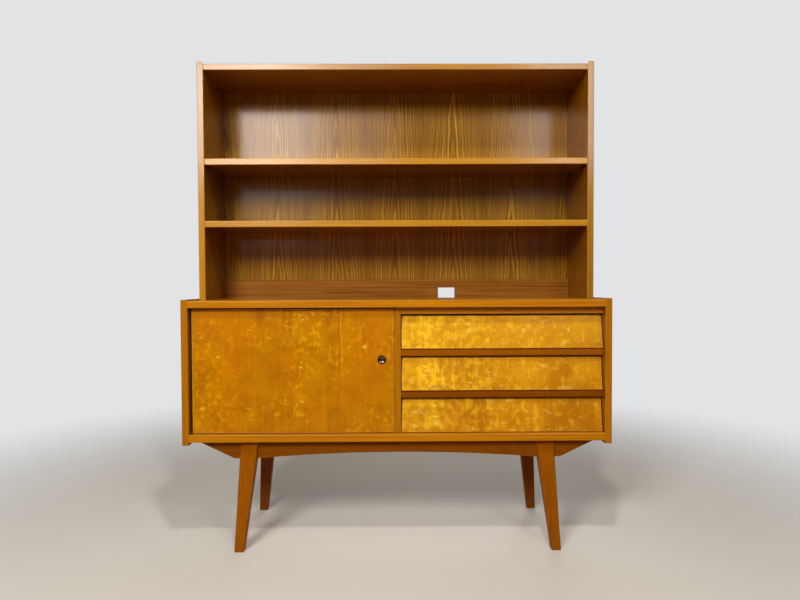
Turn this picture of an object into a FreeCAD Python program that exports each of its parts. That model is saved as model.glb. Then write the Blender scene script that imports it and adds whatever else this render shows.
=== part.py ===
import FreeCAD, Part
import math
import os

# Bookcase cabinet: a lower case with one door and three drawers on a splayed leg frame, and an open
# upper case with shelves on top of it. Millimetres; X to the right, Y to the back, Z up from the floor;
# the origin is on the floor under the middle of the cabinet.

# Boards of both cases
side_board = 19.0           # uprights
divider_board = 18.0
level_board = 21.0          # lower case's top and bottom
back_board = 4.0            # plywood backs
edge_ease = 1.5             # rounding of the front edges
back_lap = 9.0              # a back panel laps this far onto the boards round it
back_set_in = 8.0           # a back panel lies this far inside the rear edges
seat_gap = 0.3              # air under or round a piece that lies loose on its seat

# Lower case
lower_width = 1250.0
lower_depth = 345.0
case_underside = 311.0      # floor to the lower edges of the sides
lower_side_height = 424.0
side_drop = 9.0             # the sides reach below the bottom board
side_rise = 3.5             # and stand above the top board
side_top_ease = 2.0
front_recess = 20.0         # door, divider and drawer edges behind the front edges of the case
divider_offset = 2.0        # its middle lies this far right of the case's

# Upper case
upper_gap = 2.0             # between its sides and the raised sides of the lower case
upper_set_back = 105.0
upper_side_height = 723.5
upper_top_board = 18.0
upper_top_drop = 7.5        # its top lies below the ends of its sides
side_end_radius = 5.0       # rounded upper ends of its sides
shelf_board = 19.0
shelf_end_gap = 0.5
fixed_shelf_rise = 222.5    # lower case's top to the underside of the fixed shelf
loose_shelf_rise = 412.0    # and of the loose shelf
batten_height = 63.0
batten_board = 20.0
notch_offset = 141.0        # middle of the cabinet to the cable notch
notch_width = 58.0
notch_height = 34.5

# Shelf pins
pin_radius = 2.5
pin_length = 18.0
pin_hole_depth = 9.0
pin_front_set_back = 40.0
pin_back_set_in = 55.0
pin_pitch = 50.0
spare_pin_rows = 2          # rows of empty holes above the loose shelf

# Loose tongues of the glued joints, and dowels that hold the upper case in place
tongue_thickness = 6.0
tongue_in_face = 8.0        # depth in the board that it crosses
tongue_in_end = 12.0        # depth in the board that ends there
tongue_set_in = 22.0        # its ends lie this far inside the boards' edges
dowel_radius = 4.0
dowel_length = 20.0
dowel_in_top = 7.0          # the rest of its length sits in the upper case's side
dowel_shares = (0.25, 0.8)

# Drawer rails and runners
rail_height = 20.0
rail_width = 50.0
rail_set_back = 2.5         # divider's front edge to the faces of the rails
rail_tenon = 3.5
tenon_shoulder = 6.0
runner_width = 20.0
drawer_count = 3

# Drawers
front_board = 18.0
front_lean = 16.0           # the front's upper edge lies this far behind its lower edge
front_lift = 1.0
front_top_gap = 5.2
drawer_end_gap = 2.5
drawer_side = 12.0
drawer_headroom = 18.0
drawer_rear_gap = 0.8
drawer_bottom = 4.0
bottom_rise = 8.0           # side's lower edge to the underside of the bottom
groove_depth = 6.0
drawer_back_drop = 6.0      # the back is lower than the sides
tail_count = 3
tail_flare = 3.0            # a tail is this much wider at its end
front_tail = 12.0           # length of the tails in the drawer front
tail_share = 0.55           # share of a tail's pitch that the tail fills at its root

# Door
door_board = 18.0
door_hinge_gap = 4.0
door_lock_gap = 1.0
door_top_gap = 4.0
door_bottom_gap = 2.0
door_hinge_radius = 6.0     # rounding of the edge that turns past the side
stop_inset = 36.0           # door stop ends this far from the hinge side, clear of the turning edge
stop_width = 20.0
stop_gap = 0.5

# Pivot hinges of the door
pivot_inset = 10.0          # door's hinge edge to the pivot
pivot_radius = 3.0
pivot_play = 0.05
pivot_depth = 3.0           # pin past the door's plate
pivot_well_radius = 3.6
pivot_well_slack = 1.0
plate_length = 50.0
plate_width = 14.0
plate_thickness = 2.5
thrust_radius = 6.0         # collar that carries the door
plate_screw_shares = (0.45, 0.82)

# Door lock
lock_inset = 37.0           # door's free edge to the middle of the lock
lock_rise = 214.0           # door's lower edge to the middle of the lock
lock_ring_radius = 13.0
lock_ring_height = 2.5
lock_ring_ease = 0.8
barrel_radius = 9.0
plug_radius = 5.5
plug_play = 0.05
plug_step = 0.4             # plug's face stands behind the ring
key_slot_width = 1.4
key_slot_height = 7.0
key_slot_depth = 12.0
tail_disc_radius = 7.6
tail_disc_height = 3.0
drive_pin_radius = 1.5
lock_play = 0.4
lock_case_back = 18.0       # case's length past the lock's axis
lock_case_half_height = 18.0
lock_case_depth = 9.0
lock_wall = 1.5
bolt_thickness = 5.0
bolt_block_length = 18.0
bolt_block_lead = 5.0       # block's end past the lock's axis when drawn back
bolt_block_half_height = 10.5
bolt_nose_half_height = 6.0
bolt_inset = 0.5            # nose inside the door's edge when drawn back
bolt_throw = 8.0
bolt_end_room = 1.0
strike_thickness = 1.5
strike_width = 14.0
strike_half_height = 22.0
strike_screw_rise = 16.0
lock_screw_rise = 14.5
lock_screw_shares = (0.18, 0.78)

# Cupboard shelf behind the door
cupboard_shelf_rise = 175.5
cupboard_shelf_set_back = 40.0   # front edge behind the door's front face
cupboard_pin_set_back = 35.0

# Leg frame
base_rail_board = 22.0
base_rail_set_back = 25.0
base_rail_height = 53.0     # at the legs
arch_rise = 16.5
base_rail_end_inset = 16.0
base_rail_cut = 110.0       # length of the slanting cut at each end
leg_inset = 146.0           # case side to the leg's outer face, at the top
leg_top_width = 52.0
leg_top_depth = 38.0
leg_top_set_back = 20.0
foot_width = 27.0
foot_depth = 26.0
foot_splay = 16.0           # the foot stands this far outside the leg's top
foot_reach = 5.5            # and this far in front of the case
leg_ease = 3.0
cross_rail_board = 22.0
cross_rail_height = 40.0
cross_rail_gap = 4.0
cross_tenon = 10.0
cross_tenon_shoulder = 6.0

# Screws and staples
screw_radius = 1.5
screw_head_radius = 3.0
screw_head_height = 2.0
plate_screw_length = 14.0
lock_screw_length = 20.0
frame_screw_radius = 2.2
frame_screw_head_radius = 4.4
frame_screw_head_height = 2.8
frame_screw_seat = 18.0     # wood between the screw's head and the case
frame_screw_bite = 14.0     # thread in the case's bottom
frame_screw_well_radius = 5.5
frame_screw_shares = (0.22, 0.78)
staple_wire = 1.2
staple_width = 10.0
staple_length = 16.0
staple_shares = (0.06, 0.5, 0.94)
staple_side_shares = (0.2, 0.75)

# One overrun serves all cuts that run past a face
overrun = 5.0
tiny = 0.001

# Places that follow from the sizes
half_width = lower_width / 2
inner_x = half_width - side_board
divider_left = divider_offset - divider_board / 2
divider_right = divider_offset + divider_board / 2
front_y = -lower_depth / 2
rear_y = lower_depth / 2
panel_y = rear_y - back_set_in - back_board
face_y = front_y + front_recess
bottom_low = case_underside + side_drop
bottom_top = bottom_low + level_board
side_top = case_underside + lower_side_height
top_top = side_top - side_rise
top_low = top_top - level_board
drawer_pitch = (top_low - bottom_top) / drawer_count
opening_height = drawer_pitch - rail_height
rail_y = face_y + rail_set_back
upper_x = inner_x - upper_gap
upper_inner_x = upper_x - side_board
upper_front_y = front_y + upper_set_back
upper_end = top_top + upper_side_height
upper_top_top = upper_end - upper_top_drop
upper_top_low = upper_top_top - upper_top_board
fixed_shelf_low = top_top + fixed_shelf_rise
loose_shelf_low = top_top + loose_shelf_rise
door_left = -inner_x + door_hinge_gap
door_right = divider_left - door_lock_gap
door_low = bottom_top + door_bottom_gap
door_top = top_low - door_top_gap
door_back_y = face_y + door_board
pivot_x = door_left + pivot_inset
pivot_y = face_y + door_board / 2
lock_x = door_right - lock_inset
lock_z = door_low + lock_rise
tail_disc_y = door_back_y + lock_wall - tail_disc_height
bolt_y = door_back_y + lock_wall + lock_play
bolt_middle_y = bolt_y + bolt_thickness / 2
cupboard_shelf_low = bottom_top + cupboard_shelf_rise
leg_outer_x = inner_x - leg_inset
leg_inner_x = leg_outer_x - leg_top_width

os.makedirs("parts", exist_ok=True)
V = FreeCAD.Vector
AXIS_X = V(1, 0, 0)
AXIS_Y = V(0, 1, 0)
AXIS_Z = V(0, 0, 1)


def block(x, y, z):
    """A box between the two limits given for each axis."""
    (x0, x1), (y0, y1), (z0, z1) = sorted(x), sorted(y), sorted(z)
    return Part.makeBox(x1 - x0, y1 - y0, z1 - z0, V(x0, y0, z0))


def rod(radius, start, direction, length):
    return Part.makeCylinder(radius, length, start, direction)


def plate_in_yz(points, x0, x1):
    """A flat outline of (y, z) points, drawn out from x0 to x1."""
    outline = [V(x0, y, z) for y, z in points]
    return Part.Face(Part.makePolygon(outline + outline[:1])).extrude(V(x1 - x0, 0, 0))


def plate_in_xz(points, y0, y1):
    """A flat outline of (x, z) points, drawn out from y0 to y1."""
    outline = [V(x, y0, z) for x, z in points]
    return Part.Face(Part.makePolygon(outline + outline[:1])).extrude(V(0, y1 - y0, 0))


def ease(shape, radius, wanted):
    """Rounds the edges that wanted(low corner, high corner) picks."""
    picked = []
    for edge in shape.Edges:
        box = edge.BoundBox
        if wanted(V(box.XMin, box.YMin, box.ZMin), V(box.XMax, box.YMax, box.ZMax)):
            picked.append(edge)
    return shape.makeFillet(radius, picked)


def ease_front(shape, y, radius=edge_ease):
    """Rounds the edges that lie in the board's front plane."""
    return ease(shape, radius, lambda low, high: abs(low.y - y) < tiny and abs(high.y - y) < tiny)


def sunk_screw(point, way, length, radius=screw_radius, head=screw_head_radius, height=screw_head_height):
    """A countersunk screw whose head lies flush at the point and whose shank runs that way."""
    cone = Part.makeCone(head, radius, height, point, way)
    shank = rod(radius, point + way * height, way, length - height)
    return cone.fuse(shank).removeSplitter()


def staple(point, along):
    """A staple driven towards the front: its crown lies on the back panel, along X or Z."""
    half = staple_width / 2
    wire = staple_wire / 2
    across = AXIS_Z if along == AXIS_X else AXIS_X
    crown_low = point - along * half - across * wire
    crown_high = point + along * half + across * wire + AXIS_Y * staple_wire
    piece = block(*zip(crown_low, crown_high))
    for end in (-1, 1):
        middle = point + along * end * (half - wire)
        low = middle - along * wire - across * wire - AXIS_Y * (staple_length - staple_wire)
        piece = piece.fuse(block(*zip(low, middle + along * wire + across * wire)))
    return piece.removeSplitter()


def shares_between(low, high, shares):
    return [low + (high - low) * share for share in shares]


def save(name, *shapes):
    """Writes one node; a node of several equal pieces keeps them as separate solids."""
    solids = [solid for shape in shapes for solid in shape.Solids]
    whole = solids[0] if len(solids) == 1 else Part.makeCompound(solids)
    assert whole.isValid(), name
    whole.exportStep("parts/" + name + ".step")


# Tongues and dowels, which the boards on both sides of a joint are cut for
def end_tongue(side, x, y0, y1, z):
    """Between an upright whose face is at x and the end of a level board; side is 1 on the right."""
    return block(
        (x + side * tongue_in_face, x - side * tongue_in_end),
        (y0 + tongue_set_in, y1 - tongue_set_in),
        (z - tongue_thickness / 2, z + tongue_thickness / 2),
    )


def divider_tongue(z, way):
    """Between a level board whose face is at z and the divider's end; way is 1 with the divider above."""
    return block(
        (divider_offset - tongue_thickness / 2, divider_offset + tongue_thickness / 2),
        (face_y + tongue_set_in, panel_y - tongue_set_in),
        (z - way * tongue_in_face, z + way * tongue_in_end),
    )


tongues = [divider_tongue(bottom_top, 1), divider_tongue(top_low, -1)]
dowels = []
for side in (-1, 1):
    tongues.append(end_tongue(side, side * inner_x, front_y, panel_y, bottom_top - level_board / 2))
    tongues.append(end_tongue(side, side * inner_x, front_y, panel_y, top_low + level_board / 2))
    for z in (upper_top_low + upper_top_board / 2, fixed_shelf_low + shelf_board / 2):
        tongues.append(end_tongue(side, side * upper_inner_x, upper_front_y, panel_y, z))
    for y in shares_between(upper_front_y, panel_y, dowel_shares):
        foot = V(side * (upper_x - side_board / 2), y, top_top - dowel_in_top)
        dowels.append(rod(dowel_radius, foot, AXIS_Z, dowel_length))
all_joints = Part.makeCompound(tongues + dowels)

# Rebates for the two back panels
lower_rebate = block(
    (-inner_x - back_lap, inner_x + back_lap),
    (panel_y, rear_y + overrun),
    (bottom_top - back_lap, top_low + back_lap),
)
upper_rebate = block(
    (-upper_inner_x - back_lap, upper_inner_x + back_lap),
    (panel_y, rear_y + overrun),
    (top_top - overrun, upper_top_low + back_lap),
)


# Shelf pins: each row is a front and a rear pin in the face of an upright
def pin_places(x, front, z):
    return [V(x, y, z) for y in (front, panel_y - pin_back_set_in)]


def pin_holes(places, way):
    """Blind holes from the face into the board; way is the X direction into it."""
    return [rod(pin_radius, place, AXIS_X * way, pin_hole_depth) for place in places]


def pins(places, way):
    inner_end = AXIS_X * way * pin_hole_depth
    return [rod(pin_radius, place + inner_end, AXIS_X * -way, pin_length) for place in places]


upper_pin_y = upper_front_y + pin_front_set_back
cupboard_pin_y = face_y + cupboard_shelf_set_back + cupboard_pin_set_back
loose_pin_z = loose_shelf_low - pin_radius
cupboard_pin_z = cupboard_shelf_low - pin_radius
shelf_pins = []
upper_pin_holes = {}
for side in (-1, 1):
    places = pin_places(side * upper_inner_x, upper_pin_y, loose_pin_z)
    shelf_pins += pins(places, side)
    upper_pin_holes[side] = []
    for row in range(spare_pin_rows + 1):
        upper_pin_holes[side] += pin_holes([place + AXIS_Z * pin_pitch * row for place in places], side)
cupboard_left_pins = pin_places(-inner_x, cupboard_pin_y, cupboard_pin_z)
cupboard_right_pins = pin_places(divider_left, cupboard_pin_y, cupboard_pin_z)
shelf_pins += pins(cupboard_left_pins, -1) + pins(cupboard_right_pins, 1)


# Drawer rails with stub tenons, and the runners behind them
def rail_floor(level):
    """Upper face of the rail under the drawer at that level; level 0 is the bottom board."""
    return bottom_top + drawer_pitch * level


def drawer_rail(level):
    z = rail_floor(level)
    body = block((divider_right, inner_x), (rail_y, rail_y + rail_width), (z - rail_height, z))
    tenon = block(
        (divider_right - rail_tenon, inner_x + rail_tenon),
        (rail_y + tenon_shoulder, rail_y + rail_width - tenon_shoulder),
        (z - rail_height + tenon_shoulder, z - tenon_shoulder),
    )
    return body.fuse(tenon).removeSplitter()


rail_names = {3: "top_drawer_rail", 2: "middle_drawer_rail", 1: "lower_drawer_rail"}
rails = {level: drawer_rail(level) for level in rail_names}
runners = []
for level in rails:
    height = (rail_floor(level) - rail_height, rail_floor(level))
    for x0, x1 in ((divider_right, divider_right + runner_width), (inner_x - runner_width, inner_x)):
        runners.append(block((x0, x1), (rail_y + rail_width, panel_y), height))

# Door stop under the top board
door_stop = block(
    (-inner_x + stop_inset, divider_left),
    (door_back_y + stop_gap, door_back_y + stop_gap + stop_width),
    (top_low - rail_height, top_low),
)


# Pivot hinges: a plate with a pin in the case, a plate with a hole in the door's edge
def plate_outline(z0, z1):
    x0 = pivot_x - plate_width / 2
    ends = (plate_width / 2, plate_length - plate_width / 2)
    width = (pivot_y - plate_width / 2, pivot_y + plate_width / 2)
    middle = block((x0 + ends[0], x0 + ends[1]), width, (z0, z1))
    caps = [rod(plate_width / 2, V(x0 + end, pivot_y, min(z0, z1)), AXIS_Z, abs(z1 - z0)) for end in ends]
    return middle.fuse(caps).removeSplitter()


def pivot_pair(z_case, z_door, way):
    """Case plate, door plate, the well for the pin and both pairs of screws; way is 1 at the lower edge."""
    case_plate = plate_outline(z_case - way * plate_thickness, z_case)
    reach = abs(z_door - z_case) + plate_thickness + pivot_depth
    pin = rod(pivot_radius, V(pivot_x, pivot_y, z_case), AXIS_Z * way, reach)
    case_plate = case_plate.fuse(pin)
    door_plate = plate_outline(z_door, z_door + way * plate_thickness)
    hole_start = V(pivot_x, pivot_y, z_door - way * overrun)
    hole_length = plate_thickness + 2 * overrun
    door_plate = door_plate.cut(rod(pivot_radius + pivot_play, hole_start, AXIS_Z * way, hole_length))
    well_length = plate_thickness + pivot_depth + pivot_well_slack
    well = rod(pivot_well_radius, V(pivot_x, pivot_y, z_door), AXIS_Z * way, well_length)
    x0 = pivot_x - plate_width / 2
    screw_x = shares_between(x0, x0 + plate_length, plate_screw_shares)
    case_screws = [sunk_screw(V(x, pivot_y, z_case), AXIS_Z * -way, plate_screw_length) for x in screw_x]
    door_screws = [sunk_screw(V(x, pivot_y, z_door), AXIS_Z * way, plate_screw_length) for x in screw_x]
    return case_plate, door_plate, well, case_screws, door_screws


lower_pair = pivot_pair(bottom_top, door_low, 1)
lower_pivot, door_lower_pivot, lower_well, lower_case_screws, lower_door_screws = lower_pair
upper_pair = pivot_pair(top_low, door_top, -1)
upper_pivot, door_upper_pivot, upper_well, upper_case_screws, upper_door_screws = upper_pair
thrust_collar = rod(thrust_radius, V(pivot_x, pivot_y, bottom_top), AXIS_Z, door_bottom_gap - seat_gap)
lower_pivot = lower_pivot.fuse(thrust_collar).removeSplitter()
upper_pivot = upper_pivot.removeSplitter()
case_plate_screws = lower_case_screws + upper_case_screws
door_plate_screws = lower_door_screws + upper_door_screws
for screw in case_plate_screws:
    lower_pivot = lower_pivot.cut(screw)
    upper_pivot = upper_pivot.cut(screw)
for screw in door_plate_screws:
    door_lower_pivot = door_lower_pivot.cut(screw)
    door_upper_pivot = door_upper_pivot.cut(screw)


# Door lock: barrel and ring in the door, turning plug with a drive pin, case and sliding bolt
barrel = rod(barrel_radius, V(lock_x, face_y, lock_z), AXIS_Y, door_board)
ring = rod(lock_ring_radius, V(lock_x, face_y - lock_ring_height, lock_z), AXIS_Y, lock_ring_height)
ring = ease(ring, lock_ring_ease, lambda low, high: abs(high.y - face_y + lock_ring_height) < tiny)
plug_front_y = face_y - lock_ring_height + plug_step
plug_bore = rod(plug_radius + plug_play, V(lock_x, front_y, lock_z), AXIS_Y, lower_depth)
disc_room = rod(
    tail_disc_radius + lock_play,
    V(lock_x, tail_disc_y - lock_play, lock_z),
    AXIS_Y,
    tail_disc_height + 2 * lock_play,
)
lock_cylinder = barrel.fuse(ring).removeSplitter().cut(plug_bore).cut(disc_room)

plug = rod(plug_radius, V(lock_x, plug_front_y, lock_z), AXIS_Y, tail_disc_y - plug_front_y)
tail_disc = rod(tail_disc_radius, V(lock_x, tail_disc_y, lock_z), AXIS_Y, tail_disc_height)
drive_radius = bolt_throw / math.sqrt(2)    # a quarter turn moves the pin by the bolt's throw
drive_x = lock_x - drive_radius * math.sin(math.pi / 4)
drive_z = lock_z + drive_radius * math.cos(math.pi / 4)
drive_pin_length = tail_disc_height + lock_play + bolt_thickness
drive_pin = rod(drive_pin_radius, V(drive_x, tail_disc_y, drive_z), AXIS_Y, drive_pin_length)
key_slot = block(
    (lock_x - key_slot_width / 2, lock_x + key_slot_width / 2),
    (plug_front_y - overrun, plug_front_y + key_slot_depth),
    (lock_z - key_slot_height / 2, lock_z + key_slot_height / 2),
)
lock_plug = plug.fuse([tail_disc, drive_pin]).removeSplitter().cut(key_slot)

block_end = lock_x + bolt_block_lead
bolt_block = block(
    (block_end - bolt_block_length, block_end),
    (bolt_y, bolt_y + bolt_thickness),
    (lock_z - bolt_block_half_height, lock_z + bolt_block_half_height),
)
bolt_nose = block(
    (block_end, door_right - bolt_inset),
    (bolt_y, bolt_y + bolt_thickness),
    (lock_z - bolt_nose_half_height, lock_z + bolt_nose_half_height),
)
drive_room = drive_pin_radius + lock_play
drive_slot = block(
    (drive_x - drive_room, drive_x + drive_room),
    (bolt_y - overrun, bolt_y + bolt_thickness + overrun),
    (drive_z - drive_room, lock_z + drive_radius + drive_room),
)
lock_bolt = bolt_block.fuse(bolt_nose).removeSplitter().cut(drive_slot)

lock_case = block(
    (lock_x - lock_case_back, door_right),
    (door_back_y, door_back_y + lock_case_depth),
    (lock_z - lock_case_half_height, lock_z + lock_case_half_height),
)
channel_y = (bolt_y - lock_play, bolt_y + bolt_thickness + lock_play)
block_channel = block(
    (block_end - bolt_block_length - lock_play, block_end + bolt_throw + lock_play),
    channel_y,
    (lock_z - bolt_block_half_height - lock_play, lock_z + bolt_block_half_height + lock_play),
)
nose_channel = block(
    (block_end, door_right + overrun),
    channel_y,
    (lock_z - bolt_nose_half_height - lock_play, lock_z + bolt_nose_half_height + lock_play),
)
lock_case = lock_case.cut(block_channel).cut(nose_channel).cut(disc_room)
lock_screws = []
lock_screw_places = shares_between(lock_x - lock_case_back, door_right, lock_screw_shares)
for x, rise in zip(lock_screw_places, (-lock_screw_rise, lock_screw_rise)):
    head = V(x, door_back_y + lock_case_depth, lock_z + rise)
    lock_screws.append(sunk_screw(head, -AXIS_Y, lock_screw_length))
for screw in lock_screws:
    lock_case = lock_case.cut(screw)

# Strike plate in the divider, with the mortise for the bolt
strike_plate = block(
    (divider_left, divider_left + strike_thickness),
    (bolt_middle_y - strike_width / 2, bolt_middle_y + strike_width / 2),
    (lock_z - strike_half_height, lock_z + strike_half_height),
)
bolt_mortise = block(
    (divider_left - overrun, door_right - bolt_inset + bolt_throw + bolt_end_room),
    (channel_y[0] - lock_play, channel_y[1] + lock_play),
    (lock_z - bolt_nose_half_height - 2 * lock_play, lock_z + bolt_nose_half_height + 2 * lock_play),
)
strike_screws = [
    sunk_screw(V(divider_left, bolt_middle_y, lock_z + rise), AXIS_X, plate_screw_length)
    for rise in (-strike_screw_rise, strike_screw_rise)
]
strike_seat = strike_plate
strike_plate = strike_plate.cut(bolt_mortise)
for screw in strike_screws:
    strike_plate = strike_plate.cut(screw)

# Lower case
lower_sides = {}
for side in (-1, 1):
    board = block((side * inner_x, side * half_width), (front_y, rear_y), (case_underside, side_top))
    board = ease(
        board,
        side_top_ease,
        lambda low, high: abs(low.z - side_top) < tiny and high.y - low.y > lower_depth / 2,
    )
    board = ease_front(board, front_y)
    lower_sides[side] = board.cut(lower_rebate).cut(all_joints)
lower_sides[-1] = lower_sides[-1].cut(Part.makeCompound(pin_holes(cupboard_left_pins, -1)))
for rail in rails.values():
    lower_sides[1] = lower_sides[1].cut(rail)

bottom_panel = ease_front(block((-inner_x, inner_x), (front_y, rear_y), (bottom_low, bottom_top)), front_y)
bottom_panel = bottom_panel.cut(lower_rebate).cut(all_joints).cut(lower_pivot)
top_panel = ease_front(block((-inner_x, inner_x), (front_y, rear_y), (top_low, top_top)), front_y)
top_panel = top_panel.cut(lower_rebate).cut(all_joints).cut(upper_pivot)
for screw in lower_case_screws:
    bottom_panel = bottom_panel.cut(screw)
for screw in upper_case_screws:
    top_panel = top_panel.cut(screw)

divider = ease_front(block((divider_left, divider_right), (face_y, panel_y), (bottom_top, top_low)), face_y)
divider = divider.cut(all_joints).cut(strike_seat).cut(bolt_mortise)
divider = divider.cut(Part.makeCompound(pin_holes(cupboard_right_pins, 1)))
for cutter in list(rails.values()) + strike_screws:
    divider = divider.cut(cutter)

lower_back = block(
    (-inner_x - back_lap + seat_gap, inner_x + back_lap - seat_gap),
    (panel_y, panel_y + back_board),
    (bottom_top - back_lap + seat_gap, top_low + back_lap - seat_gap),
)
cupboard_shelf = ease_front(
    block(
        (-inner_x + shelf_end_gap, divider_left - shelf_end_gap),
        (face_y + cupboard_shelf_set_back, panel_y - shelf_end_gap),
        (cupboard_shelf_low, cupboard_shelf_low + shelf_board),
    ),
    face_y + cupboard_shelf_set_back,
)

# Upper case
upper_sides = {}
for side in (-1, 1):
    board = block((side * upper_inner_x, side * upper_x), (upper_front_y, rear_y), (top_top, upper_end))
    board = ease(
        board,
        side_end_radius,
        lambda low, high: abs(low.z - upper_end) < tiny and high.y - low.y > (rear_y - upper_front_y) / 2,
    )
    board = ease_front(board, upper_front_y)
    board = board.cut(upper_rebate).cut(all_joints)
    upper_sides[side] = board.cut(Part.makeCompound(upper_pin_holes[side]))

upper_span = (-upper_inner_x, upper_inner_x)
upper_top = block(upper_span, (upper_front_y, rear_y), (upper_top_low, upper_top_top))
upper_top = ease_front(upper_top, upper_front_y)
upper_top = upper_top.cut(upper_rebate).cut(all_joints)
fixed_shelf = ease_front(
    block(upper_span, (upper_front_y, panel_y), (fixed_shelf_low, fixed_shelf_low + shelf_board)),
    upper_front_y,
)
fixed_shelf = fixed_shelf.cut(all_joints)
loose_shelf = ease_front(
    block(
        (-upper_inner_x + shelf_end_gap, upper_inner_x - shelf_end_gap),
        (upper_front_y + shelf_end_gap, panel_y - shelf_end_gap),
        (loose_shelf_low, loose_shelf_low + shelf_board),
    ),
    upper_front_y + shelf_end_gap,
)
cable_notch = block(
    (notch_offset, notch_offset + notch_width),
    (panel_y - batten_board - overrun, rear_y + overrun),
    (top_top - overrun, top_top + notch_height),
)
upper_back = block(
    (-upper_inner_x - back_lap + seat_gap, upper_inner_x + back_lap - seat_gap),
    (panel_y, panel_y + back_board),
    (top_top + seat_gap, upper_top_low + back_lap - seat_gap),
)
upper_back = upper_back.cut(cable_notch)
back_batten = block(upper_span, (panel_y - batten_board, panel_y), (top_top, top_top + batten_height))
back_batten = back_batten.cut(cable_notch)

# Staples of the back panels
staple_y = panel_y + back_board
staples = []
for x in shares_between(-inner_x, inner_x, staple_shares):
    for z in (bottom_top - back_lap / 2, top_low + back_lap / 2):
        staples.append(staple(V(x, staple_y, z), AXIS_X))
for x in shares_between(-upper_inner_x, upper_inner_x, staple_shares):
    staples.append(staple(V(x, staple_y, upper_top_low + back_lap / 2), AXIS_X))
for side in (-1, 1):
    for z in shares_between(top_top, upper_top_low, staple_side_shares):
        staples.append(staple(V(side * (upper_inner_x + back_lap / 2), staple_y, z), AXIS_Z))
all_staples = Part.makeCompound(staples)


# Drawers: a leaning front with half-blind dovetails, sides dovetailed through the back, a grooved-in bottom
def drawer(level):
    floor = rail_floor(level)
    front_low = floor + front_lift
    front_top = floor + opening_height - front_top_gap
    side_low = floor + seat_gap
    side_high = floor + opening_height - drawer_headroom
    left = divider_right + drawer_end_gap
    right = inner_x - drawer_end_gap
    rear = panel_y - drawer_rear_gap

    def lean(z):
        """How far the front lies back at that height."""
        return front_lean * (z - front_low) / (front_top - front_low)

    def front_back_y(z):
        return face_y + front_board + lean(z)

    front_points = (
        (face_y, front_low),
        (face_y + front_lean, front_top),
        (face_y + front_lean + front_board, front_top),
        (face_y + front_board, front_low),
    )
    front = plate_in_yz(front_points, left, right)
    front = ease(
        front,
        edge_ease,
        lambda low, high: high.y < face_y + lean(low.z) + tiny and high.x - low.x > (right - left) / 2,
    )

    panel_low = side_low + bottom_rise
    panel_top = panel_low + drawer_bottom
    bottom = block(
        (left + drawer_side - groove_depth, right - drawer_side + groove_depth),
        (front_back_y(panel_low) - groove_depth, rear),
        (panel_low, panel_top),
    )

    def tails(low, high, root, length, way, x0, x1):
        """Dovetails between two heights. root(z) is y at the shoulder; they run along way and widen."""
        pitch = (high - low) / tail_count
        half_root = pitch * tail_share / 2
        half_end = half_root + tail_flare / 2
        made = []
        for index in range(tail_count):
            middle = low + pitch * (index + 1 / 2)
            corners = (
                (middle - half_root, 0),
                (middle - half_end, length),
                (middle + half_end, length),
                (middle + half_root, 0),
            )
            points = [(root(z) + way * run, z) for z, run in corners]
            made.append(plate_in_yz(points, x0, x1))
        return made

    back_low, back_high = panel_top, side_high - drawer_back_drop
    back = block((left, right), (rear - drawer_side, rear), (back_low, back_high))
    sides = []
    for x0, x1 in ((left, left + drawer_side), (right - drawer_side, right)):
        outline = (
            (front_back_y(side_low), side_low),
            (front_back_y(side_high), side_high),
            (rear, side_high),
            (rear, side_low),
        )
        corner = block((x0, x1), (rear - drawer_side, rear), (back_low, back_high))
        rear_tails = tails(back_low, back_high, lambda z: rear - drawer_side, drawer_side, 1, x0, x1)
        front_tails = tails(panel_top, side_high, front_back_y, front_tail, -1, x0, x1)
        side = plate_in_yz(outline, x0, x1).cut(corner).fuse(rear_tails + front_tails).removeSplitter()
        sides.append(side.cut(bottom))
        for tail in rear_tails:
            back = back.cut(tail)
        for tail in front_tails:
            front = front.cut(tail)
    front = front.cut(bottom)
    return {"front": front, "left_side": sides[0], "right_side": sides[1], "back": back, "bottom": bottom}


# Door
def upright_front_edge(low, high, x):
    at_side = abs(low.x - x) < tiny and abs(high.x - x) < tiny
    return at_side and abs(high.y - face_y) < tiny and high.z > low.z


door = block((door_left, door_right), (face_y, door_back_y), (door_low, door_top))
door = ease(
    door,
    door_hinge_radius,
    lambda low, high: upright_front_edge(low, high, door_left),
)
door = ease(
    door,
    edge_ease,
    lambda low, high: upright_front_edge(low, high, door_right),
)
door_cutters = [rod(barrel_radius, V(lock_x, front_y, lock_z), AXIS_Y, lower_depth)]
door_cutters += [lower_well, upper_well]
door_cutters += [plate_outline(door_low, door_low + plate_thickness)]
door_cutters += [plate_outline(door_top, door_top - plate_thickness)]
door_cutters += door_plate_screws + lock_screws
for cutter in door_cutters:
    door = door.cut(cutter)


# Leg frame: arched rails with slanting ends, splayed tapering legs bridled over them, cross rails, screws
def base_rail(y0, y1):
    low = bottom_low - base_rail_height
    end = inner_x - base_rail_end_inset
    foot = end - base_rail_cut
    points = [V(-end, y0, bottom_low), V(-foot, y0, low), V(-leg_inner_x, y0, low)]
    points += [V(leg_inner_x, y0, low), V(foot, y0, low), V(end, y0, bottom_low)]
    crown = V(0, y0, low + arch_rise)
    edges = [Part.makeLine(points[0], points[1]), Part.makeLine(points[1], points[2])]
    edges += [Part.Arc(points[2], crown, points[3]).toShape()]
    edges += [Part.makeLine(points[3], points[4]), Part.makeLine(points[4], points[5])]
    edges += [Part.makeLine(points[5], points[0])]
    return Part.Face(Part.Wire(edges)).extrude(V(0, y1 - y0, 0))


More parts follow.
